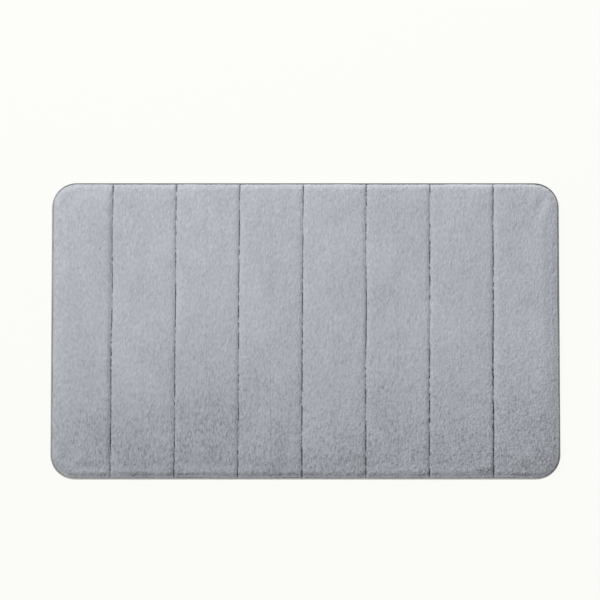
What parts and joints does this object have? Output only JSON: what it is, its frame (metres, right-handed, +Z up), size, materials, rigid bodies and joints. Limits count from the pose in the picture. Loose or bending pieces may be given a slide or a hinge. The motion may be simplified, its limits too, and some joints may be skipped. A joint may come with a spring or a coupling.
{
  "type": "bath mat",
  "caption": "Rectangular padded bath mat with a grey plush pile cover, foam channels between straight grooves, an edge seam and a non-slip underside.",
  "frame": {"origin": "under the middle of the mat's outline, on the floor that it lies on", "axes": "+X along the long side, across the grooves; +Y along the grooves to the back edge; +Z up out of the pile"},
  "size_m": [0.864, 0.508, 0.0192],
  "materials": {
    "plush": "short dense pile, brushed, matt with a soft sheen",
    "foam": "open-cell foam, matt",
    "base_cloth": "plain-woven backing cloth",
    "grip_rubber": "soft moulded dots, satin",
    "seam_thread": "overlocked yarn, matt, darker along the back edge",
    "groove_weld": "pressed cloth, slightly smooth"
  },
  "bodies": {
    "channel_1": {"plush_cover_1": "plush", "foam_core_1": "foam", "base_cloth_1": "base_cloth", "grip_backing_1": "grip_rubber", "edge_seam_1": "seam_thread"},
    "channel_2": {"plush_cover_2": "plush", "foam_core_2": "foam", "base_cloth_2": "base_cloth", "grip_backing_2": "grip_rubber", "edge_seam_2": "seam_thread", "groove_seam_1": "groove_weld"},
    "channel_3": {"plush_cover_3": "plush", "foam_core_3": "foam", "base_cloth_3": "base_cloth", "grip_backing_3": "grip_rubber", "edge_seam_3": "seam_thread", "groove_seam_2": "groove_weld"},
    "channel_4": {"plush_cover_4": "plush", "foam_core_4": "foam", "base_cloth_4": "base_cloth", "grip_backing_4": "grip_rubber", "edge_seam_4": "seam_thread", "groove_seam_3": "groove_weld", "groove_seam_4": "groove_weld"},
    "channel_5": {"plush_cover_5": "plush", "foam_core_5": "foam", "base_cloth_5": "base_cloth", "grip_backing_5": "grip_rubber", "edge_seam_5": "seam_thread", "groove_seam_5": "groove_weld"},
    "channel_6": {"plush_cover_6": "plush", "foam_core_6": "foam", "base_cloth_6": "base_cloth", "grip_backing_6": "grip_rubber", "edge_seam_6": "seam_thread", "groove_seam_6": "groove_weld"},
    "channel_7": {"plush_cover_7": "plush", "foam_core_7": "foam", "base_cloth_7": "base_cloth", "grip_backing_7": "grip_rubber", "edge_seam_7": "seam_thread", "groove_seam_7": "groove_weld"},
    "channel_8": {"plush_cover_8": "plush", "foam_core_8": "foam", "base_cloth_8": "base_cloth", "grip_backing_8": "grip_rubber", "edge_seam_8": "seam_thread"}
  },
  "joints": [
    {"name": "groove_fold_1", "type": "hinge", "parent": "channel_2", "child": "channel_1", "pos_m": [-0.329, 0, 0.0017], "axis": [0, 1, 0], "range_deg": [0, 40]},
    {"name": "groove_fold_2", "type": "hinge", "parent": "channel_3", "child": "channel_2", "pos_m": [-0.221, 0, 0.0017], "axis": [0, 1, 0], "range_deg": [0, 40]},
    {"name": "groove_fold_3", "type": "hinge", "parent": "channel_4", "child": "channel_3", "pos_m": [-0.113, 0, 0.0017], "axis": [0, 1, 0], "range_deg": [0, 40]},
    {"name": "groove_fold_4", "type": "hinge", "parent": "channel_4", "child": "channel_5", "pos_m": [-0.005, 0, 0.0017], "axis": [0, -1, 0], "range_deg": [0, 40]},
    {"name": "groove_fold_5", "type": "hinge", "parent": "channel_5", "child": "channel_6", "pos_m": [0.103, 0, 0.0017], "axis": [0, -1, 0], "range_deg": [0, 40]},
    {"name": "groove_fold_6", "type": "hinge", "parent": "channel_6", "child": "channel_7", "pos_m": [0.211, 0, 0.0017], "axis": [0, -1, 0], "range_deg": [0, 40]},
    {"name": "groove_fold_7", "type": "hinge", "parent": "channel_7", "child": "channel_8", "pos_m": [0.319, 0, 0.0017], "axis": [0, -1, 0], "range_deg": [0, 40]}
  ]
}
